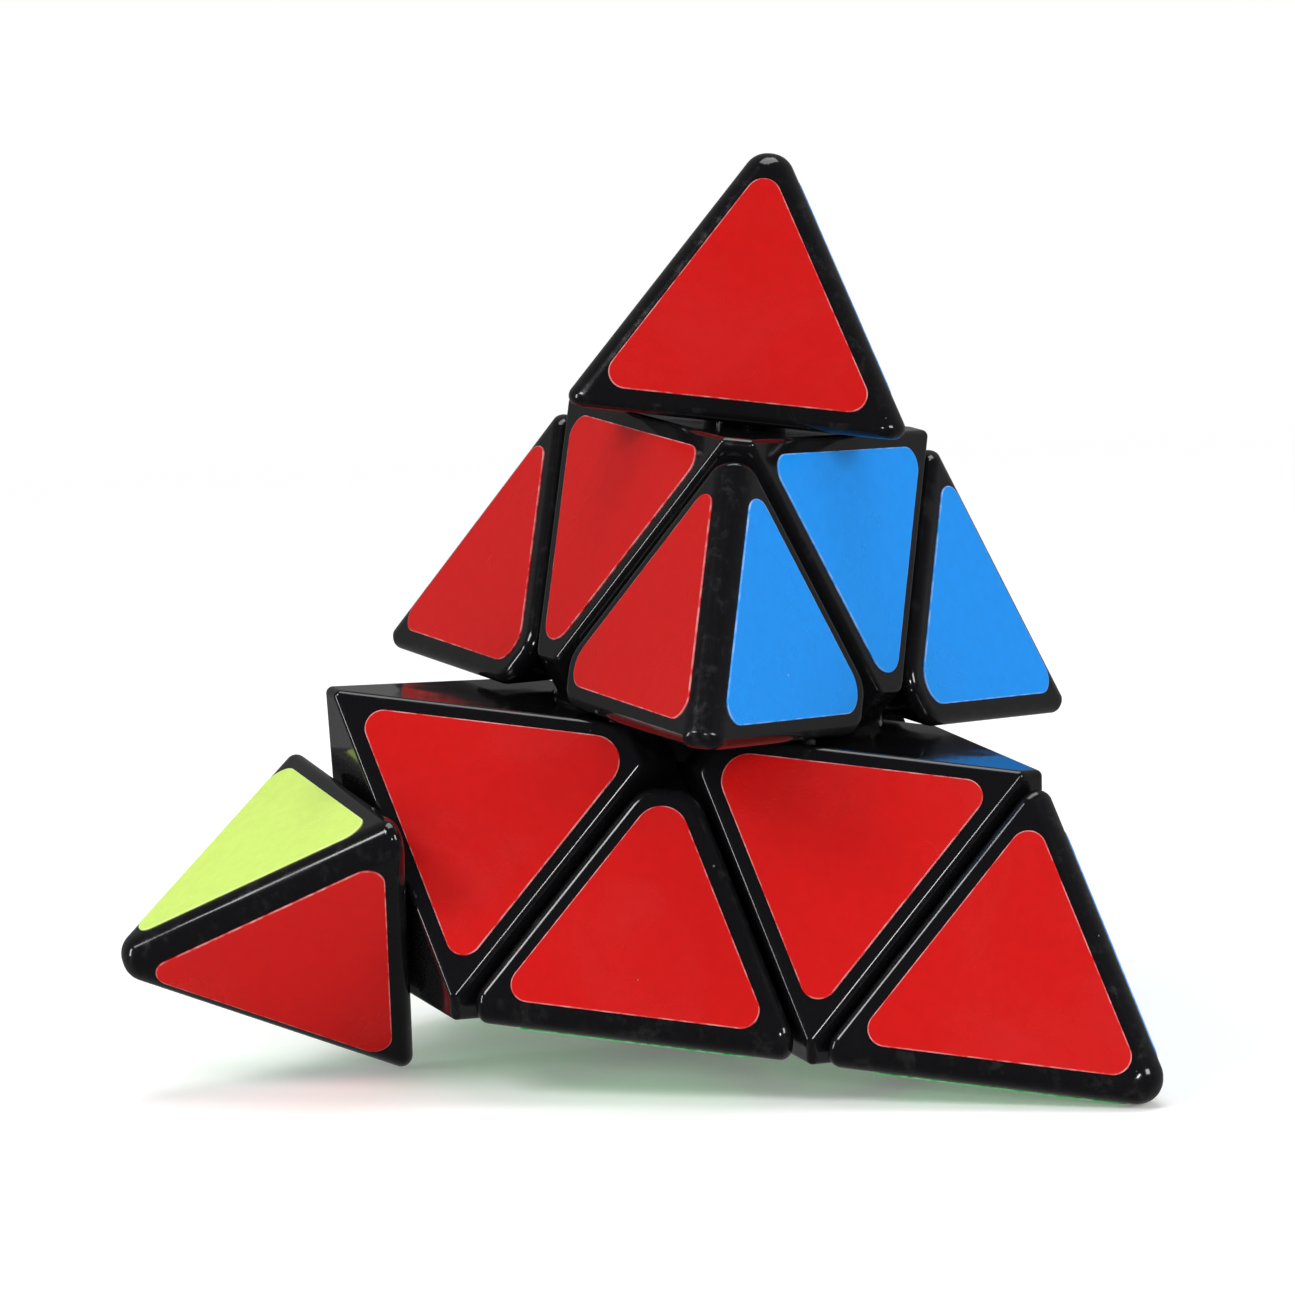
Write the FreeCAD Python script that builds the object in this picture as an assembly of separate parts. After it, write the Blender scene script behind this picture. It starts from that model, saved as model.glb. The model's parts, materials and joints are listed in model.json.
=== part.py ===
import FreeCAD, Part
import math
import os
from FreeCAD import Vector

# Pyramid twisty puzzle, in millimetres, +Z up.
# The origin is the centre of the core, where the four turning axes cross.  The base face
# lies flat at z = -face_distance and the front face looks toward -Y.  The four axes run from
# the core out through the top, left, right and back corners.

# Driving dimensions of the whole pyramid
edge_length = 98.0                  # corner to corner, before the edges are rounded
outer_edge_radius = 2.15            # rounding of the six long edges
corner_blunting = 4.55              # how much of each sharp corner is taken off along its axis

# Where the pyramid is cut, measured from the core along each turning axis
layer_cut = 6.60                    # between the two big layers
layer_gap = 0.50
tip_cut = 32.10                     # between a corner tip and the axial piece below it
tip_gap = 0.45

# Rounding of the cut borders and the openings left at the middle of each face
axial_border_radius = 0.6
edge_border_radius = 1.0
tip_border_radius = 0.9
axial_corner_setback = 4.0          # from the middle of the face to the blunted axial corner
axial_corner_radius = 1.2
edge_corner_setback = 4.4           # the same for the inner corner of an edge piece
edge_corner_radius = 3.0

# How far the top layer and two of the tips are turned away from the solved position
top_layer_turn = -51.5              # degrees about the top axis
top_tip_turn = 3.64                 # degrees about the top axis, measured from the solved position
left_tip_turn = -63.8               # degrees about the left axis

# Mouldings
wall = 1.8
shell_radius = 16.0                 # spherical underside of the axial pieces
foot_clearance = 0.10               # between the edge feet and the spheres they slide on
ball_radius = 7.0
arm_radius = 3.0
arm_length = 14.9
wing_cut = 3.0                      # plane between neighbouring feet, along each axis
foot_half_length = 9.0
tongue_half_length = 5.0            # tongue of a foot, held in a slot of its shell
tongue_half_width = 0.8
tongue_start = 15.0
tongue_end = 19.0
slot_clearance = 0.03

# Axial base: a sleeve that turns on the core arm, a flange and a tube for the tip's clip
sleeve_radius = 4.4
sleeve_clearance = 0.08
flange_radius = 9.35
plug_radius = 9.4
tube_radius = 6.0
tube_bore = 4.15
floor_bottom = 15.0
floor_top = 17.0

# Clip that holds a tip in its axial piece
neck_radius = 3.6
neck_clearance = 0.10
lip_radius = 4.0
lip_height = 0.9
lip_drop = 0.10
clip_bore = 2.6
clip_slot = 0.8
tip_fit = 0.03                      # between the tip base plate and the tip shell
tip_cavity_top = 48.5

# Screw, washer and spring on each arm
screw_radius = 1.5
thread_depth = 0.25
thread_pitch = 0.7
thread_start = 8.2
head_radius = 2.7
head_height = 1.9
head_rim_height = 0.95
head_top_radius = 1.94
recess_width = 0.75
recess_length = 3.2
recess_depth = 1.2
screw_hole_radius = 1.62
washer_radius = 3.5
washer_bottom = 24.8
washer_top = 25.6
spring_radius = 2.45
spring_wire_radius = 0.32
spring_pitch = 1.25
spring_gap = 0.03

# Stickers: thin vinyl, set back from the borders of each piece
sticker_thickness = 0.14
sticker_outer_border = 2.72         # from the sharp long edge
axial_sticker_side_border = 1.24    # from the layer cut
axial_sticker_top_border = 1.36     # from the tip cut
edge_sticker_side_border = 2.14
tip_sticker_base_border = 2.15
sticker_corner_radius = 1.6
axial_sticker_inner_radius = 2.4
edge_sticker_inner_radius = 2.4

# Sizes that follow from the regular tetrahedron
face_distance = edge_length * math.sqrt(6) / 12
corner_distance = 3 * face_distance
slant = 2 * math.sqrt(2) / 3        # sine of the angle between two faces
reach = 4 * edge_length             # larger than anything in the model
cutter = 0.5                        # how far a cutting tool runs past the face it opens
dual = 3 / 4                        # the four axes, each taken twice, add up to 1 / dual

origin = Vector(0, 0, 0)
up = Vector(0, 0, 1)
AXES = {
    "top": Vector(0, 0, 1),
    "left": Vector(-math.sqrt(6) / 3, -math.sqrt(2) / 3, -1 / 3),
    "right": Vector(math.sqrt(6) / 3, -math.sqrt(2) / 3, -1 / 3),
    "back": Vector(0, slant, -1 / 3),
}
FACE_COLOURS = {"back": "red", "left": "blue", "right": "yellow", "top": "green"}
EDGES = [
    ("left", "right"),
    ("right", "back"),
    ("left", "back"),
    ("top", "left"),
    ("top", "right"),
    ("top", "back"),
]


def turned(shape, axis, degrees):
    """A copy of the shape turned about an axis through the core."""
    copy = shape.copy()
    copy.rotate(origin, axis, degrees)
    return copy


def below(normal, distance):
    """Everything on the core's side of a plane at this distance along the normal."""
    block = Part.makeBox(reach, reach, reach, Vector(-reach / 2, -reach / 2, -reach))
    block.Placement = FreeCAD.Placement(normal * distance, FreeCAD.Rotation(up, normal))
    return block


def above(normal, distance):
    """Everything beyond a plane at this distance along the normal."""
    return below(-normal, -distance)


def common(shapes):
    """The space shared by all the shapes."""
    result = shapes[0]
    for shape in shapes[1:]:
        result = result.common(shape)
    return result.Solids[0]


def others(*names):
    """The names of the remaining corners."""
    return [name for name in AXES if name not in names]


def others_of_top(name):
    """The two corners left when the top and this one are taken away."""
    return others("top", name)


def faces_in(distance, names):
    """The space behind the outer faces that lie opposite these corners."""
    return [below(-AXES[name], distance) for name in names]


def point_at(heights):
    """The point with these heights along three of the axes."""
    missing = others(*heights)[0]
    full = dict(heights)
    full[missing] = -sum(heights.values())
    total = Vector(0, 0, 0)
    for name, height in full.items():
        total = total + AXES[name] * (dual * height)
    return total


def on_plane(edge, normal, distance, slack=0.01):
    """Whether the whole edge lies in the plane."""
    first, last = edge.ParameterRange
    samples = [edge.valueAt(first + (last - first) * i / 4) for i in range(5)]
    return all(abs(sample.dot(normal) - distance) < slack for sample in samples)


def on_any(edge, normals, distance):
    """Whether the whole edge lies in one of the planes at this distance."""
    return any(on_plane(edge, normal, distance) for normal in normals)


def fillet_edges(shape, radius, test):
    """The shape with every edge that passes the test rounded."""
    return shape.makeFillet(radius, [edge for edge in shape.Edges if test(edge)]).Solids[0]


def ring(outer, inner, bottom, top):
    """A tube about the top axis."""
    tube = Part.makeCylinder(outer, top - bottom, Vector(0, 0, bottom))
    if inner:
        tube = tube.cut(Part.makeCylinder(inner, top - bottom, Vector(0, 0, bottom)))
    return tube


def rounded_pyramid():
    """The whole pyramid with blunted corners and rounded long edges."""
    solid = common(
        [below(-axis, face_distance) for axis in AXES.values()]
        + [below(axis, corner_distance - corner_blunting) for axis in AXES.values()]
    )
    return solid.makeFillet(outer_edge_radius, solid.Edges).Solids[0]


def tip_shell(pyramid):
    """Hollow outer cap of the top tip, open on the side that faces its axial piece."""
    base = tip_cut + tip_gap / 2
    skin = common([pyramid, above(up, base)])
    skin = fillet_edges(skin, tip_border_radius, lambda edge: on_plane(edge, up, base))
    cavity = common(
        faces_in(face_distance - wall, others("top"))
        + [above(up, base - cutter), below(up, tip_cavity_top)]
    )
    return skin.cut(cavity).Solids[0]


def tip_base():
    """Plate that closes the top tip, with the split clip that holds it in the axial piece."""
    bottom = tip_cut + tip_gap / 2
    plate = common(
        faces_in(face_distance - wall - tip_fit, others("top"))
        + [above(up, bottom), below(up, bottom + wall)]
    )
    shoulder = tip_cut - tip_gap / 2 - wall
    lip_top = shoulder - lip_drop
    clip = ring(neck_radius, 0, lip_top, bottom)
    lip = Part.makeCone(neck_radius, lip_radius, lip_height / 2, Vector(0, 0, lip_top - lip_height))
    lip = lip.fuse(ring(lip_radius, 0, lip_top - lip_height / 2, lip_top))
    base = plate.fuse(clip).fuse(lip)
    bore_bottom = lip_top - lip_height - cutter
    base = base.cut(ring(clip_bore, 0, bore_bottom, bottom + wall + cutter))
    slot_height = bottom - wall / 2 - bore_bottom
    for angle in (0, 90):
        slot = Part.makeBox(4 * lip_radius, clip_slot, slot_height)
        slot.translate(Vector(-2 * lip_radius, -clip_slot / 2, bore_bottom))
        base = base.cut(turned(slot, up, angle))
    return base.removeSplitter().Solids[0]


def axial_shell():
    """Outer moulding of the top axial piece: three small faces and seven cut faces."""
    top = tip_cut - tip_gap / 2
    bottom = layer_cut + layer_gap / 2
    side = layer_cut - layer_gap / 2
    sides = others("top")
    centre_height = 2 * face_distance / 3
    blunt = (centre_height - slant * axial_corner_setback) / (2 / math.sqrt(3))
    planes = faces_in(face_distance, sides)
    planes += [below(AXES[name], side) for name in sides]
    planes += [above(up, bottom), below(up, top)]
    ridges = [(AXES[first] + AXES[second]).normalize() for first, second in map(others_of_top, sides)]
    planes += [below(ridge, blunt) for ridge in ridges]
    skin = common(planes)
    skin = fillet_edges(
        skin,
        axial_corner_radius,
        lambda edge: on_any(edge, ridges, blunt) and on_any(edge, [AXES[name] for name in sides], side),
    )
    outer = [-AXES[name] for name in sides]
    skin = fillet_edges(
        skin,
        axial_border_radius,
        lambda edge: on_any(edge, outer, face_distance) or on_plane(edge, up, top),
    )
    cavity = common(
        faces_in(face_distance - wall, sides) + [ring(plug_radius, 0, 0, top - wall)]
    )
    opening = ring(neck_radius + neck_clearance, 0, top - wall - cutter, top + cutter)
    shell = skin.cut(Part.makeSphere(shell_radius)).cut(cavity).cut(opening)
    return shell.Solids[0]


def axial_base():
    """Inner moulding of the top axial piece: sleeve, flange, floor and tube."""
    flange = Part.makeSphere(shell_radius + wall).cut(Part.makeSphere(shell_radius))
    flange = flange.common(ring(flange_radius, 0, 0, reach))
    tube_top = tip_cut - tip_gap / 2 - wall
    tube = ring(tube_radius, 0, shell_radius, tube_top)
    sleeve = ring(sleeve_radius, 0, wing_cut, floor_top)
    sleeve = sleeve.cut(Part.makeSphere(ball_radius + foot_clearance))
    base = flange.fuse(tube).fuse(sleeve)
    base = base.cut(ring(arm_radius + sleeve_clearance, 0, 0, floor_bottom))
    base = base.cut(ring(screw_hole_radius, 0, 0, floor_top + cutter))
    base = base.cut(ring(tube_bore, 0, floor_top, tube_top + cutter))
    return base.removeSplitter().Solids[0]


def edge_shell(pyramid):
    """Hollow outer moulding of the left-right edge piece."""
    side = layer_cut + layer_gap / 2
    first, second = AXES["left"], AXES["right"]
    ridge = (first + second).normalize()
    centre_height = 2 * face_distance / 3
    blunt = (centre_height + slant * edge_corner_setback) / (2 / math.sqrt(3))
    skin = common([pyramid, above(first, side), above(second, side), above(ridge, blunt)])
    cuts = [first, second]
    skin = fillet_edges(
        skin,
        edge_corner_radius,
        lambda edge: on_plane(edge, ridge, blunt) and on_any(edge, cuts, side),
    )
    outer = [-AXES[name] for name in others("left", "right")]
    skin = fillet_edges(
        skin,
        edge_border_radius,
        lambda edge: edge_on_border(edge, cuts, side, ridge, blunt, outer),
    )
    cavity = common(
        faces_in(face_distance - wall, others("left", "right"))
        + [above(first, side + wall), above(second, side + wall)]
    )
    shell = skin.cut(Part.makeSphere(shell_radius)).cut(cavity).cut(tongue(slot_clearance))
    return shell.Solids[0]


def edge_on_border(edge, cuts, side, ridge, blunt, outer):
    """Whether an edge of the edge piece separates a cut face from an outer face."""
    middle = edge.valueAt(sum(edge.ParameterRange) / 2)
    at_corner = middle.dot(ridge) < blunt + edge_corner_radius
    if at_corner and edge.Length < 4 * edge_corner_radius:
        return on_any(edge, outer, face_distance)
    return on_any(edge, cuts, side)


def tongue(clearance):
    """Tongue of the left-right foot, or its slot when a clearance is given."""
    first, second = AXES["left"], AXES["right"]
    length = 2 * (tongue_half_length + clearance)
    width = 2 * (tongue_half_width + clearance)
    block = Part.makeBox(length, width, tongue_end - tongue_start + clearance)
    block.translate(Vector(-length / 2, -width / 2, tongue_start))
    along = first.cross(second).normalize()
    bisector = (first + second).normalize()
    across = bisector.cross(along)
    block.Placement = FreeCAD.Placement(
        origin, FreeCAD.Rotation(along, across, bisector)
    ).multiply(block.Placement)
    return block


def edge_foot():
    """Inner moulding of the left-right edge piece, hooked under the axial pieces."""
    first, second = AXES["left"], AXES["right"]
    side = layer_cut + layer_gap / 2
    along = first.cross(second).normalize()
    wing_gap = layer_gap / 2
    ball = Part.makeSphere(ball_radius + foot_clearance)
    limits = [above(first, wing_cut + wing_gap), above(second, wing_cut + wing_gap)]
    limits += [below(AXES[name], wing_cut - wing_gap) for name in others("left", "right")]
    limits += [below(along, foot_half_length), below(-along, foot_half_length)]
    wings = common([Part.makeSphere(shell_radius - foot_clearance)] + limits)
    neck = common([Part.makeSphere(shell_radius), above(first, side), above(second, side)] + limits)
    foot = wings.fuse(neck).cut(ball).fuse(tongue(0))
    return foot.removeSplitter().Solids[0]


def core_spider():
    """Ball with four arms, each bored for its screw."""
    core = Part.makeSphere(ball_radius)
    for axis in AXES.values():
        core = core.fuse(Part.makeCylinder(arm_radius, arm_length, origin, axis))
    for axis in AXES.values():
        core = core.cut(Part.makeCylinder(screw_radius, arm_length, axis * thread_start, axis))
    return core.removeSplitter().Solids[0]


def axis_screw():
    """Pan-head screw with a cross recess, along the top axis."""
    profile = [Vector(0, 0, thread_start), Vector(screw_radius - thread_depth, 0, thread_start)]
    height = thread_start
    while height + thread_pitch < arm_length:
        profile.append(Vector(screw_radius, 0, height + thread_pitch / 2))
        profile.append(Vector(screw_radius - thread_depth, 0, height + thread_pitch))
        height += thread_pitch
    profile.append(Vector(screw_radius, 0, height + thread_pitch / 2))
    profile.append(Vector(screw_radius, 0, washer_top))
    profile.append(Vector(head_radius, 0, washer_top))
    profile.append(Vector(head_radius, 0, washer_top + head_rim_height))
    profile.append(Vector(head_top_radius, 0, washer_top + head_height))
    profile.append(Vector(0, 0, washer_top + head_height))
    profile.append(profile[0])
    screw = Part.Face(Part.makePolygon(profile)).revolve(origin, up, 360)
    for angle in (45, 135):
        slot = Part.makeBox(recess_length, recess_width, recess_depth + cutter)
        slot.translate(Vector(-recess_length / 2, -recess_width / 2, 0))
        slot.translate(Vector(0, 0, washer_top + head_height - recess_depth))
        screw = screw.cut(turned(slot, up, angle))
    return screw.Solids[0]


def axis_spring():
    """Compression spring between the floor of the axial base and the washer."""
    start = floor_top + spring_gap + spring_wire_radius
    height = washer_bottom - spring_gap - spring_wire_radius - start
    helix = Part.makeHelix(spring_pitch, height, spring_radius)
    section = Part.Wire(
        Part.makeCircle(spring_wire_radius, Vector(spring_radius, 0, 0), Vector(0, 1, 0))
    )
    coil = Part.Wire(helix.Edges).makePipeShell([section], True, True)
    coil.translate(Vector(0, 0, start))
    return coil.Solids[0]


def rounded_triangle(corners, radii):
    """Closed wire round a triangle whose corners are rounded."""
    points = []
    for i in range(3):
        corner = corners[i]
        before = (corners[i - 1] - corner).normalize()
        after = (corners[(i + 1) % 3] - corner).normalize()
        half_angle = before.getAngle(after) / 2
        inset = radii[i] / math.tan(half_angle)
        middle = (before + after).normalize() * (radii[i] / math.sin(half_angle) - radii[i])
        points.append((corner + before * inset, corner + middle, corner + after * inset))
    lines = []
    for i in range(3):
        start, middle, end = points[i]
        lines.append(Part.Arc(start, middle, end).toShape())
        lines.append(Part.LineSegment(end, points[(i + 1) % 3][0]).toShape())
    return Part.Wire(lines)


def sticker(face, corners, radii):
    """Sticker on the outer face that lies opposite the named corner."""
    outline = Part.Face(rounded_triangle(corners, radii))
    return outline.extrude(AXES[face] * -sticker_thickness).Solids[0]


def tip_sticker(name, face):
    """Sticker on one face of a tip."""
    base = tip_cut + tip_gap / 2 + slant * tip_sticker_base_border
    outer = slant * sticker_outer_border - face_distance
    first, second = others(name, face)
    corners = [
        point_at({face: -face_distance, first: outer, second: outer}),
        point_at({face: -face_distance, name: base, first: outer}),
        point_at({face: -face_distance, name: base, second: outer}),
    ]
    return sticker(face, corners, [sticker_corner_radius] * 3)


def axial_sticker(name, face):
    """Sticker on one face of an axial piece."""
    top = tip_cut - tip_gap / 2 - slant * axial_sticker_top_border
    side = layer_cut - layer_gap / 2 - slant * axial_sticker_side_border
    first, second = others(name, face)
    corners = [
        point_at({face: -face_distance, first: side, second: side}),
        point_at({face: -face_distance, name: top, first: side}),
        point_at({face: -face_distance, name: top, second: side}),
    ]
    radii = [axial_sticker_inner_radius, sticker_corner_radius, sticker_corner_radius]
    return sticker(face, corners, radii)


def edge_sticker(names, face):
    """Sticker on one face of an edge piece."""
    side = layer_cut + layer_gap / 2 + slant * edge_sticker_side_border
    outer = slant * sticker_outer_border - face_distance
    first, second = names
    far = others(first, second, face)[0]
    corners = [
        point_at({face: -face_distance, first: side, second: side}),
        point_at({face: -face_distance, far: outer, first: side}),
        point_at({face: -face_distance, far: outer, second: side}),
    ]
    radii = [edge_sticker_inner_radius, sticker_corner_radius, sticker_corner_radius]
    return sticker(face, corners, radii)


def to_corner(shape, name):
    """A piece drawn on the top axis, carried to another corner of the solved puzzle."""
    if name == "top":
        return shape.copy()
    at_left = turned(shape, AXES["back"], -120)
    steps = {"left": 0, "right": 1, "back": 2}
    return turned(at_left, up, 120 * steps[name])


def to_edge(shape, names):
    """The left-right edge piece, carried to another edge of the solved puzzle."""
    low = {("left", "right"): 0, ("right", "back"): 1, ("left", "back"): 2}
    if names in low:
        return turned(shape, up, 120 * low[names])
    at_left = turned(shape, AXES["left"], 120)
    steps = {"left": 0, "right": 1, "back": 2}
    return turned(at_left, up, 120 * steps[names[1]])


def twist_tip(shape, name):
    """Turn a tip from the solved position to the position it is modelled in."""
    turns = {"top": top_tip_turn, "left": left_tip_turn}
    return turned(shape, AXES[name], turns.get(name, 0))


def twist_layer(shape, names):
    """Turn a piece of the top layer to the position it is modelled in."""
    return turned(shape, up, top_layer_turn if "top" in names else 0)


def export(name, shape):
    shape.exportStep(os.path.join("parts", name + ".step"))


def build_tips(pyramid):
    shell = tip_shell(pyramid)
    base = tip_base()
    for name in AXES:
        export("tip_shell_" + name, twist_tip(to_corner(shell, name), name))
        export("tip_base_" + name, twist_tip(to_corner(base, name), name))
        for face in others(name):
            label = "tip_sticker_" + name + "_" + FACE_COLOURS[face]
            export(label, twist_tip(tip_sticker(name, face), name))


def build_axials():
    shell = axial_shell()
    base = axial_base()
    for name in AXES:
        export("axial_shell_" + name, twist_layer(to_corner(shell, name), [name]))
        export("axial_base_" + name, twist_layer(to_corner(base, name), [name]))


def build_edges(pyramid):
    shell = edge_shell(pyramid)
    foot = edge_foot()
    for names in EDGES:
        label = "_".join(names)
        export("edge_shell_" + label, twist_layer(to_edge(shell, names), names))
        export("edge_foot_" + label, twist_layer(to_edge(foot, names), names))


def build_layer_stickers():
    groups = {}
    for name in AXES:
        for face in others(name):
            piece = twist_layer(axial_sticker(name, face), [name])
            layer = "top_layer" if name == "top" else "lower_layer"
            groups.setdefault((layer, FACE_COLOURS[face]), []).append(piece)
    for names in EDGES:
        for face in others(*names):
            piece = twist_layer(edge_sticker(names, face), names)
            layer = "top_layer" if "top" in names else "lower_layer"
            groups.setdefault((layer, FACE_COLOURS[face]), []).append(piece)
    for (layer, colour), pieces in groups.items():
        export(layer + "_stickers_" + colour, Part.makeCompound(pieces))


def build_core():
    export("core_spider", core_spider())
    hardware = {
        "axis_screws": axis_screw(),
        "axis_springs": axis_spring(),
        "axis_washers": ring(washer_radius, screw_hole_radius, washer_bottom, washer_top),
    }
    for label, piece in hardware.items():
        export(label, Part.makeCompound([to_corner(piece, name) for name in AXES]))


def main():
    os.makedirs("parts", exist_ok=True)
    pyramid = rounded_pyramid()
    build_core()
    build_tips(pyramid)
    build_axials()
    build_edges(pyramid)
    build_layer_stickers()


main()
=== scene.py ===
import json
import math

import bmesh
import bpy
from mathutils import Matrix, Vector


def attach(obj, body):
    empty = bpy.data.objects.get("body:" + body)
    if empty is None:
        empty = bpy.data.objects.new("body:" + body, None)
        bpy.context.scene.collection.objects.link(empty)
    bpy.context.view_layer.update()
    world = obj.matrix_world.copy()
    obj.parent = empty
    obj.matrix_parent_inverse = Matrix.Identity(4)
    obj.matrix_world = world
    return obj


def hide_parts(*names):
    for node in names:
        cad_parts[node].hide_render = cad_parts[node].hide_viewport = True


bl_info = {
    "name": "Pyramid Twisty Puzzle",
    "version": (1, 0, 0),
    "blender": (4, 5, 0),
    "location": "View3D > Sidebar > Puzzle",
    "description": "Finishes the mouldings, stickers and hardware of a pyramid twisty puzzle, and lights it",
    "category": "Object",
}

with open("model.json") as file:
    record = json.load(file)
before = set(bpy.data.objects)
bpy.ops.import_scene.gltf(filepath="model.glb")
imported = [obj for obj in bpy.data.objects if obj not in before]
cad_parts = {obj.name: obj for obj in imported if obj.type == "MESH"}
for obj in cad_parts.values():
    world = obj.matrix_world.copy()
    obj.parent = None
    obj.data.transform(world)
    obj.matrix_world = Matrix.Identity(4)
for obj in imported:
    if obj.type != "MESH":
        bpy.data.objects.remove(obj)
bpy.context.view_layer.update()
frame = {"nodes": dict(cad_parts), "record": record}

BODIES = frame["record"]["behaviour"]["bodies"]
MM = 0.001
CORNERS = ("top", "left", "right", "back")
COLOURS = ("red", "blue", "yellow", "green")
WHITE = (1, 1, 1, 1)

# The four turning axes of the solved puzzle, out of the core through each corner.
AXES = {
    "top": Vector((0, 0, 1)),
    "left": Vector((-math.sqrt(6) / 3, -math.sqrt(2) / 3, -1 / 3)),
    "right": Vector((math.sqrt(6) / 3, -math.sqrt(2) / 3, -1 / 3)),
    "back": Vector((0, 2 * math.sqrt(2) / 3, -1 / 3)),
}

# How far each turned body stands at rest from the solved puzzle: its axis and its angle in degrees.
REST_TURNS = {
    "top_layer": ("top", -51.5),
    "top_tip": ("top", 3.64),
    "left_tip": ("left", -63.8),
}

# The rolled rim of a sticker: its height as a share of its width, and the steps that round it.
ROLL_HEIGHT = 0.6
ROLL_STEPS = 4

# Points closer than this are one point, and points this near a plane lie in it.
WELD = 0.001 * MM
FLAT = 0.01 * MM

# Rotations of the sets of scratches that cross each other, in radians, and how long they are drawn out.
SCRATCH_TURNS = ((0.3, 0.2, 0.5), (1.2, 0.7, 2.1), (2.3, 1.9, 0.9), (0.8, 2.6, 1.6))
SCRATCH_SQUEEZE = (1.0, 0.035, 1.0)

# The lights, which all face the core: name, place and size in metres, power in watts.
SOFT_BOXES = (
    ("Left soft box", (-0.90, -0.75, 0.75), (0.42, 0.42), 7.0),
    ("Right soft box", (0.95, -0.62, 0.62), (0.36, 0.45), 5.8),
    ("Top soft box", (-0.10, 0.08, 1.10), (0.90, 0.55), 6.0),
    ("Left strip", (-1.00, -0.40, 0.02), (0.10, 0.45), 2.4),
    ("Front lamp", (0.24, -0.84, 0.22), (0.12, 0.12), 1.3),
)

# The round floor, in metres: it is solid inside the first fade radius and gone past the second.
FLOOR_RADIUS = 0.6
FLOOR_FADE = (0.13, 0.40)
# Painted fill light: the floor glows faintly in this greenish tint, so the shadow under the puzzle's base
# comes out lighter.
FLOOR_PAINTED_FILL_GLOW = (0.97, 1.0, 0.94, 1.0)

# The surroundings: how bright they are to the camera, as fill light, and mirrored from front to rear.
BACKDROP = 1.0
FILL = 0.42
MIRRORED = (0.03, 0.20)

SENSOR_WIDTH = 36
SETTLING_ROUNDS = 12


def colour_property(name, description, default):
    """A colour that the panel shows."""
    return bpy.props.FloatVectorProperty(
        name=name, description=description, subtype="COLOR", size=3, min=0, max=1, default=default
    )


class StickerSettings(bpy.types.PropertyGroup):
    """Colours and build of the vinyl stickers."""

    red: colour_property("Red", "Colour of the front face's stickers", (0.495, 0.0040, 0.0035))
    blue: colour_property("Blue", "Colour of the right face's stickers", (0.007, 0.265, 0.82))
    yellow: colour_property("Lime yellow", "Colour of the left face's stickers", (0.59, 0.79, 0.158))
    green: colour_property("Green", "Colour of the base face's stickers", (0.012, 0.38, 0.06))
    roll_off: bpy.props.FloatProperty(
        name="Edge roll-off",
        description="How far the cut edge of the vinyl rolls in from its rim",
        subtype="DISTANCE",
        unit="LENGTH",
        min=0.02 * MM,
        max=0.4 * MM,
        default=0.10 * MM,
    )
    thickness: bpy.props.FloatProperty(
        name="Thickness",
        description="Thickness of the vinyl",
        subtype="DISTANCE",
        unit="LENGTH",
        min=0.05 * MM,
        max=0.5 * MM,
        default=0.14 * MM,
    )


class PlasticSettings(bpy.types.PropertyGroup):
    """Finish of the moulded plastic."""

    black: colour_property("Black", "Colour of the outer mouldings", (0.0050, 0.0050, 0.0058))
    inner_black: colour_property("Inner black", "Colour of the inner mouldings", (0.008, 0.008, 0.009))
    worn: colour_property("Worn", "Colour of rubbed borders and dust", (0.16, 0.16, 0.165))
    core: colour_property("Core", "Colour of the nylon core", (0.014, 0.014, 0.015))


class HardwareSettings(bpy.types.PropertyGroup):
    """Colours of the metal parts."""

    zinc: colour_property("Zinc", "Colour of the plated screws and washers", (0.62, 0.63, 0.62))
    spring_wire: colour_property("Spring wire", "Colour of the drawn wire", (0.42, 0.42, 0.43))


class StageSettings(bpy.types.PropertyGroup):
    """Floor and camera."""

    floor: colour_property("Floor", "Colour of the floor", (0.93, 0.935, 0.93))
    lens: bpy.props.FloatProperty(
        name="Focal length",
        description="Focal length on a 36 mm sensor, in millimetres",
        min=50,
        max=400,
        default=249.5,
    )
    azimuth: bpy.props.FloatProperty(
        name="Azimuth",
        description="Angle of the camera round the puzzle, from straight in front",
        subtype="ANGLE",
        default=math.radians(10.62),
    )
    elevation: bpy.props.FloatProperty(
        name="Elevation",
        description="Height of the camera as an angle above the puzzle's own horizon",
        subtype="ANGLE",
        default=math.radians(6.78),
    )
    roll: bpy.props.FloatProperty(
        name="Roll",
        description="Lean of the camera, which the tilted puzzle makes upright",
        subtype="ANGLE",
        default=math.radians(5.4),
    )
    distance: bpy.props.FloatProperty(
        name="Distance",
        description="Distance of the camera from the core",
        subtype="DISTANCE",
        unit="LENGTH",
        min=0.3,
        max=3,
        default=0.7925,
    )
    aim: bpy.props.FloatVectorProperty(
        name="Aim",
        description="Point the camera looks at, right of and above the core",
        subtype="TRANSLATION",
        unit="LENGTH",
        size=2,
        default=(-0.00563, 0.01156),
    )


# ---------------------------------------------------------------- shader node groups


def start_group(name, inputs, outputs):
    """An empty shader node group with these (name, socket type, default) inputs and outputs."""
    group = bpy.data.node_groups.new(name, "ShaderNodeTree")
    for label, kind, default in inputs:
        socket = group.interface.new_socket(label, in_out="INPUT", socket_type=kind)
        if default is not None:
            socket.default_value = default
    for label, kind in outputs:
        group.interface.new_socket(label, in_out="OUTPUT", socket_type=kind)
    enter = group.nodes.new("NodeGroupInput")
    leave = group.nodes.new("NodeGroupOutput")
    return group, enter, leave


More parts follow.
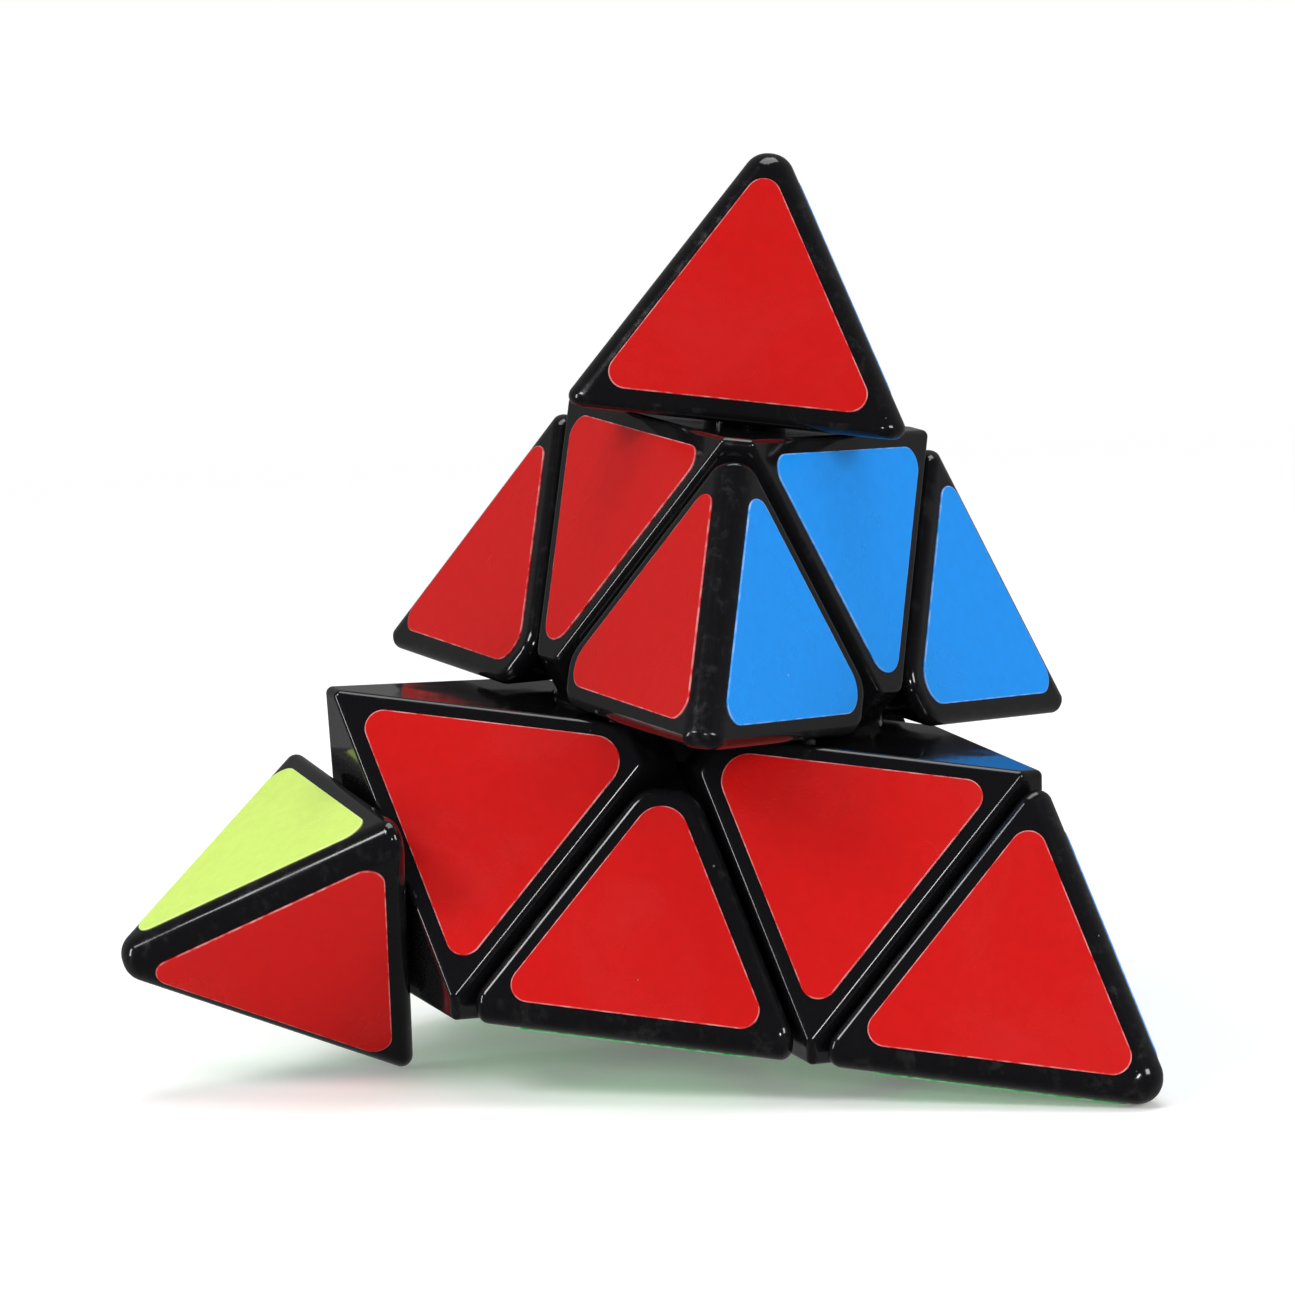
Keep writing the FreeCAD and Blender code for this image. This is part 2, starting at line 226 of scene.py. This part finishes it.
def add(tree, kind, inputs=None, **settings):
    """A node with its settings made and its sockets filled from values or other sockets."""
    node = tree.nodes.new(kind)
    for key, value in settings.items():
        setattr(node, key, value)
    for key, value in (inputs or {}).items():
        socket = node.inputs[key]
        if isinstance(value, bpy.types.NodeSocket):
            tree.links.new(value, socket)
        else:
            socket.default_value = value
    return node


def maths(tree, operation, first, second=0.0, clamp=False):
    """The result socket of one arithmetic step."""
    node = add(tree, "ShaderNodeMath", {0: first, 1: second}, operation=operation, use_clamp=clamp)
    return node.outputs[0]


def layered(tree, start, *layers):
    """A value with shares of several masks added, each given as (mask, share)."""
    total = start
    for mask, share in layers:
        total = maths(tree, "ADD", total, maths(tree, "MULTIPLY", mask, share))
    return total


def ramp(tree, value, low, high, out_low=0.0, out_high=1.0):
    """A value carried smoothly from one range to another."""
    node = add(
        tree,
        "ShaderNodeMapRange",
        {"Value": value, "From Min": low, "From Max": high, "To Min": out_low, "To Max": out_high},
        interpolation_type="SMOOTHSTEP",
    )
    return node.outputs["Result"]


def blend_colour(tree, factor, first, second):
    """Two colours mixed by a factor."""
    node = add(tree, "ShaderNodeMix", {"Factor": factor, "A": first, "B": second}, data_type="RGBA")
    return node.outputs["Result"]


def stain(tree, base, mask, share, colour):
    """A colour with another laid over it where a mask says, at a share of its strength."""
    return blend_colour(tree, maths(tree, "MULTIPLY", mask, share), base, colour)


def make_scratches():
    """Fine handling scratches that run several ways."""
    group, enter, leave = start_group(
        "Fine scratches",
        [
            ("Position", "NodeSocketVector", None),
            ("Scale", "NodeSocketFloat", 220.0),
            ("Coverage", "NodeSocketFloat", 0.5),
        ],
        [("Mask", "NodeSocketFloat")],
    )
    total = None
    for turn in SCRATCH_TURNS:
        laid = add(
            group,
            "ShaderNodeMapping",
            {"Vector": enter.outputs["Position"], "Rotation": turn, "Scale": SCRATCH_SQUEEZE},
        )
        streak = add(
            group,
            "ShaderNodeTexNoise",
            {"Vector": laid.outputs[0], "Scale": enter.outputs["Scale"], "Detail": 1.0, "Roughness": 0.4},
        )
        off_middle = maths(group, "ABSOLUTE", maths(group, "SUBTRACT", streak.outputs["Fac"], 0.5))
        line = ramp(group, off_middle, low=0.004, high=0.0)
        total = line if total is None else maths(group, "ADD", total, line)
    patch = add(
        group,
        "ShaderNodeTexNoise",
        {"Vector": enter.outputs["Position"], "Scale": 160.0, "Detail": 2.0},
    )
    edge = layered(group, 0.85, (enter.outputs["Coverage"], -0.5))
    gate = add(
        group,
        "ShaderNodeMapRange",
        {"Value": patch.outputs["Fac"], "From Min": edge, "From Max": maths(group, "ADD", edge, 0.12)},
    )
    mask = maths(group, "MULTIPLY", total, gate.outputs["Result"], clamp=True)
    group.links.new(mask, leave.inputs["Mask"])
    return group


def make_specks():
    """Scattered specks of dust and pits, each with its own size."""
    group, enter, leave = start_group(
        "Specks",
        [
            ("Position", "NodeSocketVector", None),
            ("Scale", "NodeSocketFloat", 900.0),
            ("Size", "NodeSocketFloat", 0.16),
            ("Share", "NodeSocketFloat", 0.12),
        ],
        [("Mask", "NodeSocketFloat")],
    )
    cells = add(
        group,
        "ShaderNodeTexVoronoi",
        {"Vector": enter.outputs["Position"], "Scale": enter.outputs["Scale"]},
        feature="F1",
    )
    parts = add(group, "ShaderNodeSeparateColor", {"Color": cells.outputs["Color"]})
    size = maths(group, "MULTIPLY", parts.outputs["Green"], enter.outputs["Size"])
    dot = maths(group, "LESS_THAN", cells.outputs["Distance"], size)
    chosen = maths(group, "LESS_THAN", parts.outputs["Red"], enter.outputs["Share"])
    group.links.new(maths(group, "MULTIPLY", dot, chosen), leave.inputs["Mask"])
    return group


def make_smudges():
    """Broad patches left by fingers, with soft borders."""
    group, enter, leave = start_group(
        "Finger smudges",
        [
            ("Position", "NodeSocketVector", None),
            ("Scale", "NodeSocketFloat", 70.0),
        ],
        [("Mask", "NodeSocketFloat")],
    )
    broad = add(
        group,
        "ShaderNodeTexNoise",
        {
            "Vector": enter.outputs["Position"],
            "Scale": enter.outputs["Scale"],
            "Detail": 5.0,
            "Roughness": 0.62,
            "Distortion": 0.7,
        },
    )
    group.links.new(ramp(group, broad.outputs["Fac"], low=0.42, high=0.68), leave.inputs["Mask"])
    return group


def make_mould_surface():
    """Slight sink and flow of a moulded wall, with a fine grain on top."""
    group, enter, leave = start_group(
        "Moulded surface",
        [
            ("Position", "NodeSocketVector", None),
            ("Flow scale", "NodeSocketFloat", 90.0),
            ("Flow height", "NodeSocketFloat", 1.0),
            ("Grain scale", "NodeSocketFloat", 2600.0),
            ("Grain height", "NodeSocketFloat", 0.02),
        ],
        [("Height", "NodeSocketFloat")],
    )
    flow = add(
        group,
        "ShaderNodeTexNoise",
        {"Vector": enter.outputs["Position"], "Scale": enter.outputs["Flow scale"], "Detail": 1.0},
    )
    grain = add(
        group,
        "ShaderNodeTexNoise",
        {"Vector": enter.outputs["Position"], "Scale": enter.outputs["Grain scale"], "Detail": 2.0},
    )
    height = layered(
        group,
        0.0,
        (flow.outputs["Fac"], enter.outputs["Flow height"]),
        (grain.outputs["Fac"], enter.outputs["Grain height"]),
    )
    group.links.new(height, leave.inputs["Height"])
    return group


def make_border_wear():
    """Rubbing on rounded borders: where the surface leaves the flat faces of the pyramid."""
    axes = [(name.title() + " axis", "NodeSocketVector", tuple(AXES[name])) for name in CORNERS]
    group, enter, leave = start_group(
        "Border wear",
        [("Position", "NodeSocketVector", None), ("Normal", "NodeSocketVector", None)]
        + axes
        + [("Breakup", "NodeSocketFloat", 600.0)],
        [("Border", "NodeSocketFloat"), ("Wear", "NodeSocketFloat")],
    )
    nearest = None
    for label, _, _ in axes:
        along = add(
            group,
            "ShaderNodeVectorMath",
            {0: enter.outputs["Normal"], 1: enter.outputs[label]},
            operation="DOT_PRODUCT",
        )
        size = maths(group, "ABSOLUTE", along.outputs["Value"])
        nearest = size if nearest is None else maths(group, "MAXIMUM", nearest, size)
    border = ramp(group, nearest, low=0.9995, high=0.97)
    speckle = add(
        group,
        "ShaderNodeTexNoise",
        {
            "Vector": enter.outputs["Position"],
            "Scale": enter.outputs["Breakup"],
            "Detail": 4.0,
            "Roughness": 0.7,
        },
    )
    worn = maths(group, "MULTIPLY", border, ramp(group, speckle.outputs["Fac"], low=0.52, high=0.7))
    group.links.new(border, leave.inputs["Border"])
    group.links.new(worn, leave.inputs["Wear"])
    return group


EFFECT_MAKERS = {
    "scratches": make_scratches,
    "specks": make_specks,
    "smudges": make_smudges,
    "mould": make_mould_surface,
    "border": make_border_wear,
}
EFFECTS = {}


def use(tree, name, inputs):
    """A shared effect placed in a material with its own values, and built at its first use."""
    if name not in EFFECTS:
        EFFECTS[name] = EFFECT_MAKERS[name]()
    return add(tree, "ShaderNodeGroup", inputs, node_tree=EFFECTS[name])


# ---------------------------------------------------------------- materials


def opaque(colour, factor=1.0):
    """A colour with full alpha, made darker or lighter by a factor."""
    return (*(part * factor for part in colour), 1.0)


def start_material(name, **constants):
    """A material with its surface shader, and the position and normal that its detail is laid by."""
    material = bpy.data.materials.new(name)
    material.use_nodes = True
    tree = material.node_tree
    tree.nodes.clear()
    out = tree.nodes.new("ShaderNodeOutputMaterial")
    shader = tree.nodes.new("ShaderNodeBsdfPrincipled")
    for key, value in constants.items():
        shader.inputs[key.replace("_", " ")].default_value = value
    tree.links.new(shader.outputs[0], out.inputs["Surface"])
    place = tree.nodes.new("ShaderNodeTexCoord")
    return material, tree, shader, place.outputs["Object"], place.outputs["Normal"]


def bump(tree, shader, height, distance):
    """Relief of this height fed to the shader."""
    node = add(tree, "ShaderNodeBump", {"Height": height, "Distance": distance, "Strength": 1.0})
    tree.links.new(node.outputs[0], shader.inputs["Normal"])


def moulded_black(name, black, worn, axes, roughness, scratch_share):
    """Polished black plastic with sink marks, fine scratches, smudges, dust and rubbed borders."""
    material, tree, shader, place, normal = start_material(name, IOR=1.52)
    laid = {key.title() + " axis": tuple(value) for key, value in axes.items()}
    border = use(tree, "border", {"Position": place, "Normal": normal, **laid})
    scratch = use(tree, "scratches", {"Position": place, "Scale": 240.0, "Coverage": scratch_share})
    smudge = use(tree, "smudges", {"Position": place, "Scale": 80.0})
    dust = use(tree, "specks", {"Position": place, "Scale": 800.0, "Size": 0.12, "Share": 0.05})
    mould = use(tree, "mould", {"Position": place, "Flow scale": 110.0, "Grain height": 0.012})
    marks = maths(tree, "MAXIMUM", scratch.outputs["Mask"], border.outputs["Wear"])
    colour = stain(tree, opaque(black), marks, 0.05, opaque(worn))
    colour = stain(tree, colour, dust.outputs["Mask"], 0.6, opaque(worn))
    tree.links.new(colour, shader.inputs["Base Color"])
    rough = layered(
        tree,
        roughness,
        (smudge.outputs["Mask"], 0.05),
        (marks, 0.07),
        (border.outputs["Border"], 0.04),
        (dust.outputs["Mask"], 0.4),
    )
    tree.links.new(rough, shader.inputs["Roughness"])
    height = layered(
        tree, mould.outputs["Height"], (scratch.outputs["Mask"], -0.03), (dust.outputs["Mask"], 0.10)
    )
    bump(tree, shader, height, distance=0.12 * MM)
    return material


def vinyl(name, colour, rim):
    """Semi-gloss sticker vinyl with slight unevenness, pinholes and scuffs; its cut rim is paler."""
    material, tree, shader, place, _ = start_material(name, IOR=1.42)
    scratch = use(tree, "scratches", {"Position": place, "Scale": 300.0, "Coverage": 0.35})
    smudge = use(tree, "smudges", {"Position": place, "Scale": 55.0})
    pit = use(tree, "specks", {"Position": place, "Scale": 420.0, "Size": 0.06, "Share": 0.05})
    mould = use(
        tree,
        "mould",
        {
            "Position": place,
            "Flow scale": 150.0,
            "Flow height": 0.8,
            "Grain scale": 3800.0,
            "Grain height": 0.03,
        },
    )
    tone = add(tree, "ShaderNodeTexNoise", {"Vector": place, "Scale": 900.0, "Detail": 3.0})
    deep = opaque(colour, 0.90)
    pale = opaque([part + (1.0 - part) * 0.22 for part in colour])
    if rim:
        mottle = ramp(tree, tone.outputs["Fac"], low=0.3, high=0.7)
        base = blend_colour(tree, mottle, opaque(colour), pale)
    else:
        mottle = ramp(tree, tone.outputs["Fac"], low=0.25, high=0.75, out_high=0.6)
        base = blend_colour(tree, mottle, opaque(colour), deep)
        base = stain(tree, base, smudge.outputs["Mask"], 0.25, deep)
    base = stain(tree, base, scratch.outputs["Mask"], 0.06, pale)
    base = stain(tree, base, pit.outputs["Mask"], 0.55, pale)
    tree.links.new(base, shader.inputs["Base Color"])
    rough = layered(tree, 0.24, (smudge.outputs["Mask"], 0.07), (scratch.outputs["Mask"], 0.12))
    tree.links.new(rough, shader.inputs["Roughness"])
    height = layered(tree, mould.outputs["Height"], (pit.outputs["Mask"], 0.25))
    bump(tree, shader, height, distance=0.08 * MM)
    return material


def nylon(name, colour):
    """Satin nylon with a visible grain."""
    material, tree, shader, place, _ = start_material(name, IOR=1.53)
    smudge = use(tree, "smudges", {"Position": place, "Scale": 120.0})
    mould = use(
        tree, "mould", {"Position": place, "Flow scale": 200.0, "Grain scale": 2200.0, "Grain height": 0.25}
    )
    base = stain(tree, opaque(colour), smudge.outputs["Mask"], 0.5, opaque(colour, 1.8))
    tree.links.new(base, shader.inputs["Base Color"])
    rough = layered(tree, 0.34, (smudge.outputs["Mask"], 0.12))
    tree.links.new(rough, shader.inputs["Roughness"])
    bump(tree, shader, mould.outputs["Height"], distance=0.10 * MM)
    return material


def plated_steel(name, colour, roughness, grain):
    """Zinc-plated or drawn steel with fine grain and a few dark spots."""
    material, tree, shader, place, _ = start_material(name, Metallic=1.0)
    scratch = use(tree, "scratches", {"Position": place, "Scale": 700.0, "Coverage": 0.9})
    spot = use(tree, "specks", {"Position": place, "Scale": 2200.0, "Size": 0.2, "Share": 0.08})
    mould = use(
        tree, "mould", {"Position": place, "Flow scale": 500.0, "Grain scale": 6000.0, "Grain height": grain}
    )
    base = stain(tree, opaque(colour), spot.outputs["Mask"], 0.5, opaque(colour, 0.45))
    tree.links.new(base, shader.inputs["Base Color"])
    rough = layered(tree, roughness, (scratch.outputs["Mask"], 0.2))
    tree.links.new(rough, shader.inputs["Roughness"])
    bump(tree, shader, mould.outputs["Height"], distance=0.03 * MM)
    return material


def coat(node, material):
    """Give a CAD node one finish."""
    node.data.materials.clear()
    node.data.materials.append(material)


# ---------------------------------------------------------------- stickers


def joined_faces(first, waiting):
    """The faces that hang together with a first one, taken out of the set of those that wait."""
    waiting.discard(first)
    found = [first]
    for face in found:
        for edge in face.edges:
            for neighbour in edge.link_faces:
                if neighbour in waiting:
                    waiting.discard(neighbour)
                    found.append(neighbour)
    return found


def rim_points(patch):
    """The corners round a flat patch of faces, in order and turning left about its normal."""
    inside = set(patch)
    follow = {
        loop.vert: loop.link_loop_next.vert
        for face in patch
        for loop in face.loops
        if sum(beside in inside for beside in loop.edge.link_faces) == 1
    }
    start = next(iter(follow))
    rim = [start]
    while follow[rim[-1]] != start:
        rim.append(follow[rim[-1]])
    return [vert.co.copy() for vert in rim]


def sticker_outlines(node):
    """The outline of each sticker's outer side, in order, with its outward direction."""
    mesh = bmesh.new()
    mesh.from_mesh(node.data)
    bmesh.ops.remove_doubles(mesh, verts=mesh.verts, dist=WELD)
    mesh.normal_update()
    waiting = set(mesh.faces)
    outlines = []
    for first in mesh.faces:
        if first not in waiting:
            continue
        sticker = joined_faces(first, waiting)
        widest = max(sticker, key=lambda face: face.calc_area())
        direction = widest.normal.copy()
        if direction.dot(widest.calc_center_median()) < 0:
            direction.negate()
        top = max(vert.co.dot(direction) for face in sticker for vert in face.verts)
        outer = [
            face for face in sticker if all(top - vert.co.dot(direction) < FLAT for vert in face.verts)
        ]
        outlines.append((rim_points(outer), direction))
    mesh.free()
    return outlines


def inset(points, direction, amount):
    """An outline moved inward in its own plane."""
    moved = []
    count = len(points)
    for i in range(count):
        before = (points[i] - points[i - 1]).normalized()
        after = (points[(i + 1) % count] - points[i]).normalized()
        inward = (direction.cross(before) + direction.cross(after)).normalized()
        spread = max(0.5, inward.dot(direction.cross(before)))
        moved.append(points[i] + inward * (amount / spread))
    return moved


def build_sticker(mesh, points, direction, thickness, roll_off):
    """Add one sticker: a cut side, a rolled rim, and a flat face and back."""
    height = roll_off * ROLL_HEIGHT
    levels = [(0.0, thickness), (0.0, height)]
    for step in range(1, ROLL_STEPS + 1):
        angle = step / ROLL_STEPS * math.pi / 2
        levels.append((roll_off * (1 - math.cos(angle)), height * (1 - math.sin(angle))))
    rings = []
    for move, drop in levels:
        outline = inset(points, direction, move)
        rings.append([mesh.verts.new(point - direction * drop) for point in outline])
    count = len(points)
    for ring, (lower, upper) in enumerate(zip(rings, rings[1:])):
        for i in range(count):
            face = mesh.faces.new((lower[i - 1], lower[i], upper[i], upper[i - 1]))
            face.smooth = ring > 0
            face.material_index = 1
    face = mesh.faces.new(rings[-1])
    face.material_index = 0
    back = mesh.faces.new(list(reversed(rings[0])))
    back.material_index = 1


def sticker_piece(node_name, body, finishes, settings):
    """Add the piece with the rolled vinyl edge that stands for one CAD sticker node."""
    mesh = bmesh.new()
    for points, direction in sticker_outlines(frame["nodes"][node_name]):
        build_sticker(mesh, points, direction, settings.thickness, settings.roll_off)
    data = bpy.data.meshes.new("vinyl_" + node_name)
    mesh.to_mesh(data)
    mesh.free()
    piece = bpy.data.objects.new("vinyl_" + node_name, data)
    bpy.context.scene.collection.objects.link(piece)
    for finish in finishes:
        data.materials.append(finish)
    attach(piece, body)
    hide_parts(node_name)


# ---------------------------------------------------------------- stage


def resting_plane():
    """Middle and normal of the surface under the turned puzzle, across its three low tips."""
    normal = Vector((0, 0, 1))
    tips = [frame["nodes"]["tip_shell_" + name].data.vertices for name in ("left", "right", "back")]
    for _ in range(SETTLING_ROUNDS):
        feet = [min((vert.co for vert in verts), key=lambda co: co.dot(normal)) for verts in tips]
        normal = (feet[1] - feet[0]).cross(feet[2] - feet[0]).normalized()
        if normal.z < 0:
            normal.negate()
    middle = sum(feet, Vector()) / 3
    points = (vert.co for node in frame["nodes"].values() for vert in node.data.vertices)
    lowest = min(point.dot(normal) for point in points)
    return middle + normal * (lowest - middle.dot(normal)), normal


def soft_box(name, place, size, power):
    """Add a rectangular light that faces the core."""
    light = bpy.data.lights.new(name, "AREA")
    light.shape = "RECTANGLE"
    light.size, light.size_y = size
    light.energy = power
    lamp = bpy.data.objects.new(name, light)
    bpy.context.scene.collection.objects.link(lamp)
    lamp.location = place
    lamp.rotation_mode = "QUATERNION"
    lamp.rotation_quaternion = Vector(place).to_track_quat("Z", "Y")


def studio_world():
    """White surroundings that light the puzzle softly and stay dim in its reflections."""
    world = bpy.data.worlds.new("Studio")
    world.use_nodes = True
    tree = world.node_tree
    tree.nodes.clear()
    out = tree.nodes.new("ShaderNodeOutputWorld")
    seen = add(tree, "ShaderNodeBackground", {"Color": WHITE, "Strength": BACKDROP})
    place = tree.nodes.new("ShaderNodeTexCoord")
    parts = add(tree, "ShaderNodeSeparateXYZ", {"Vector": place.outputs["Generated"]})
    front, rear = MIRRORED
    strength = ramp(tree, parts.outputs["Y"], low=-0.5, high=0.8, out_low=front, out_high=rear)
    mirrored = add(tree, "ShaderNodeBackground", {"Color": WHITE, "Strength": strength})
    fill = add(tree, "ShaderNodeBackground", {"Color": WHITE, "Strength": FILL})
    path = tree.nodes.new("ShaderNodeLightPath")
    around = add(
        tree,
        "ShaderNodeMixShader",
        {0: path.outputs["Is Diffuse Ray"], 1: mirrored.outputs[0], 2: fill.outputs[0]},
    )
    mix = add(
        tree,
        "ShaderNodeMixShader",
        {0: path.outputs["Is Camera Ray"], 1: around.outputs[0], 2: seen.outputs[0]},
    )
    tree.links.new(mix.outputs[0], out.inputs["Surface"])
    bpy.context.scene.world = world


# ---------------------------------------------------------------- operators


def body_axes(body):
    """The four face directions of the pieces in a body, as it is turned at rest."""
    corner, degrees = REST_TURNS.get(body, ("top", 0.0))
    turn = Matrix.Rotation(math.radians(degrees), 3, AXES[corner])
    return {name: turn @ axis for name, axis in AXES.items()}


def coat_mouldings(label, black, worn, roughness, scratch_share, words):
    """Give the nodes with one of these words in their names a black that follows their body's faces."""
    for body, names in BODIES.items():
        finish = moulded_black(
            label + " " + body, black, worn, body_axes(body), roughness, scratch_share
        )
        for name in names:
            if any(word in name for word in words):
                coat(frame["nodes"][name], finish)


class PUZZLE_OT_outer_mouldings(bpy.types.Operator):
    """Polish the outer mouldings of the tips, axial pieces and edge pieces"""

    bl_idname = "puzzle.outer_mouldings"
    bl_label = "Outer mouldings"

    def execute(self, context):
        plastic = context.scene.puzzle_plastic
        coat_mouldings(
            "Polished black",
            plastic.black,
            plastic.worn,
            roughness=0.07,
            scratch_share=0.45,
            words=("_shell_",),
        )
        return {"FINISHED"}


class PUZZLE_OT_inner_mouldings(bpy.types.Operator):
    """Finish the sleeves, feet and clip plates inside the puzzle"""

    bl_idname = "puzzle.inner_mouldings"
    bl_label = "Inner mouldings"

    def execute(self, context):
        plastic = context.scene.puzzle_plastic
        coat_mouldings(
            "Greased black",
            plastic.inner_black,
            plastic.worn,
            roughness=0.12,
            scratch_share=0.7,
            words=("_base_", "_foot_"),
        )
        return {"FINISHED"}


class PUZZLE_OT_core(bpy.types.Operator):
    """Finish the core, screws, washers and springs"""

    bl_idname = "puzzle.core"
    bl_label = "Core and hardware"

    def execute(self, context):
        nodes = frame["nodes"]
        metal = context.scene.puzzle_hardware
        coat(nodes["core_spider"], nylon("Core nylon", context.scene.puzzle_plastic.core))
        zinc = plated_steel("Zinc plate", metal.zinc, roughness=0.20, grain=0.05)
        coat(nodes["axis_screws"], zinc)
        coat(nodes["axis_washers"], zinc)
        wire = plated_steel("Drawn spring wire", metal.spring_wire, roughness=0.28, grain=0.2)
        coat(nodes["axis_springs"], wire)
        return {"FINISHED"}


class PUZZLE_OT_stickers(bpy.types.Operator):
    """Lay the vinyl stickers on the faces"""

    bl_idname = "puzzle.stickers"
    bl_label = "Stickers"

    def execute(self, context):
        settings = context.scene.puzzle_stickers
        finishes = {}
        for colour in COLOURS:
            shade = getattr(settings, colour)
            finishes[colour] = (
                vinyl(colour.title() + " vinyl", shade, rim=False),
                vinyl(colour.title() + " vinyl edge", shade, rim=True),
            )
        for body, names in BODIES.items():
            for name in names:
                if "sticker" in name:
                    colour = name.rsplit("_", 1)[1]
                    sticker_piece(name, body, finishes[colour], settings)
        return {"FINISHED"}


class PUZZLE_OT_stage(bpy.types.Operator):
    """Set the floor, the soft boxes and the camera"""

    bl_idname = "puzzle.stage"
    bl_label = "Stage"

    def execute(self, context):
        settings = context.scene.puzzle_stage
        middle, normal = resting_plane()
        self.lay_floor(middle, normal, settings.floor)
        studio_world()
        for name, place, size, power in SOFT_BOXES:
            soft_box(name, place, size, power)
        self.place_camera(settings)
        context.scene.view_settings.view_transform = "Standard"
        return {"FINISHED"}

    def lay_floor(self, middle, normal, colour):
        """Add the round sheet of paper that the puzzle stands on and that fades into the backdrop; it glows
        with painted fill light that lightens the shadow under the puzzle.
        """
        mesh = bmesh.new()
        bmesh.ops.create_circle(mesh, cap_ends=True, segments=96, radius=FLOOR_RADIUS)
        data = bpy.data.meshes.new("floor")
        mesh.to_mesh(data)
        mesh.free()
        floor = bpy.data.objects.new("floor", data)
        bpy.context.scene.collection.objects.link(floor)
        floor.location = middle
        floor.rotation_mode = "QUATERNION"
        floor.rotation_quaternion = Vector((0, 0, 1)).rotation_difference(normal)
        # The emission is painted fill light: the floor glows so that the shadow under the puzzle's base is
        # lighter, though the floor is no lamp.
        material, tree, shader, place, _ = start_material(
            "Studio paper", Roughness=0.6, Emission_Color=FLOOR_PAINTED_FILL_GLOW, Emission_Strength=0.17
        )
        smudge = use(tree, "smudges", {"Position": place, "Scale": 3.0})
        base = stain(tree, opaque(colour), smudge.outputs["Mask"], 0.15, opaque(colour, 0.98))
        tree.links.new(base, shader.inputs["Base Color"])
        reach = add(tree, "ShaderNodeVectorMath", {0: place}, operation="LENGTH")
        solid, gone = FLOOR_FADE
        alpha = ramp(tree, reach.outputs["Value"], low=gone, high=solid)
        tree.links.new(alpha, shader.inputs["Alpha"])
        data.materials.append(material)
        floor.visible_glossy = False

    def place_camera(self, settings):
        """Add the camera, with its axes right, up and back worked out from its angles."""
        around, above = settings.azimuth, settings.elevation
        level = math.cos(above)
        back = Vector((math.sin(around) * level, -math.cos(around) * level, math.sin(above)))
        right = Vector((math.cos(around), math.sin(around), 0))
        up = back.cross(right)
        lean = Matrix.Rotation(settings.roll, 3, back)
        right, up = lean @ right, lean @ up
        camera = bpy.data.objects.new("Camera", bpy.data.cameras.new("Camera"))
        bpy.context.scene.collection.objects.link(camera)
        camera.data.sensor_width = SENSOR_WIDTH
        camera.data.lens = settings.lens
        camera.data.clip_start, camera.data.clip_end = 0.05, 20
        camera.rotation_mode = "QUATERNION"
        turn = Matrix((right, up, back)).transposed()
        camera.rotation_quaternion = turn.to_quaternion()
        camera.location = right * settings.aim[0] + up * settings.aim[1] + back * settings.distance
        bpy.context.scene.camera = camera


OPERATORS = (
    PUZZLE_OT_outer_mouldings,
    PUZZLE_OT_inner_mouldings,
    PUZZLE_OT_core,
    PUZZLE_OT_stickers,
    PUZZLE_OT_stage,
)


class PUZZLE_PT_panel(bpy.types.Panel):
    """The steps that finish the puzzle, with their settings"""

    bl_idname = "PUZZLE_PT_panel"
    bl_label = "Pyramid puzzle"
    bl_space_type = "VIEW_3D"
    bl_region_type = "UI"
    bl_category = "Puzzle"

    def draw(self, context):
        layout = self.layout
        for operator in OPERATORS:
            layout.operator(operator.bl_idname)
        for settings in (
            context.scene.puzzle_stickers,
            context.scene.puzzle_plastic,
            context.scene.puzzle_hardware,
            context.scene.puzzle_stage,
        ):
            box = layout.box()
            for name in settings.__annotations__:
                box.prop(settings, name)


SETTINGS = (StickerSettings, PlasticSettings, HardwareSettings, StageSettings)
CLASSES = SETTINGS + OPERATORS + (PUZZLE_PT_panel,)


def register():
    for item in CLASSES:
        bpy.utils.register_class(item)
    bpy.types.Scene.puzzle_stickers = bpy.props.PointerProperty(type=StickerSettings)
    bpy.types.Scene.puzzle_plastic = bpy.props.PointerProperty(type=PlasticSettings)
    bpy.types.Scene.puzzle_hardware = bpy.props.PointerProperty(type=HardwareSettings)
    bpy.types.Scene.puzzle_stage = bpy.props.PointerProperty(type=StageSettings)


def unregister():
    del bpy.types.Scene.puzzle_stage
    del bpy.types.Scene.puzzle_hardware
    del bpy.types.Scene.puzzle_plastic
    del bpy.types.Scene.puzzle_stickers
    for item in reversed(CLASSES):
        bpy.utils.unregister_class(item)


def main():
    register()
    bpy.ops.puzzle.outer_mouldings()
    bpy.ops.puzzle.inner_mouldings()
    bpy.ops.puzzle.core()
    bpy.ops.puzzle.stickers()
    bpy.ops.puzzle.stage()


if __name__ == "__main__":
    main()
